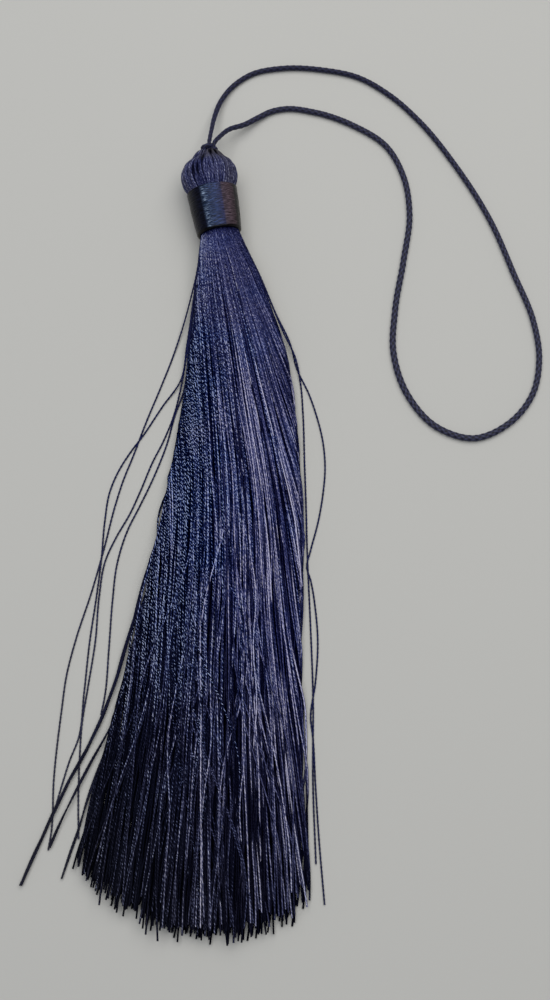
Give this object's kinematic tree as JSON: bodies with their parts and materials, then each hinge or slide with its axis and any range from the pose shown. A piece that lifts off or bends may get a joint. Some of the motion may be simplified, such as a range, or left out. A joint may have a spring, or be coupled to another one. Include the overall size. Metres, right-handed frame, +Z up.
{
  "type": "tassel",
  "caption": "Long silky thread tassel lying flat, with a round gathered head, a satin-bound neck, a small knot and a hanging loop of thin cord.",
  "frame": {"origin": "middle of the small flat spot under the head, on the surface that the tassel lies on", "axes": "+Z up from the surface, +Y from the skirt towards the top of the head, +X to the side on which the hanging loop lies"},
  "size_m": [0.0851, 0.1491, 0.0093],
  "materials": {
    "thread": "fine two-ply twisted rayon thread, silky",
    "binding": "glossy satin thread wound side by side",
    "cord": "soft round braided cord, low sheen"
  },
  "bodies": {
    "root": {"thread_skirt": "thread", "neck_binding": "binding", "top_knot": "cord", "hanging_loop": "cord"}
  },
  "joints": []
}
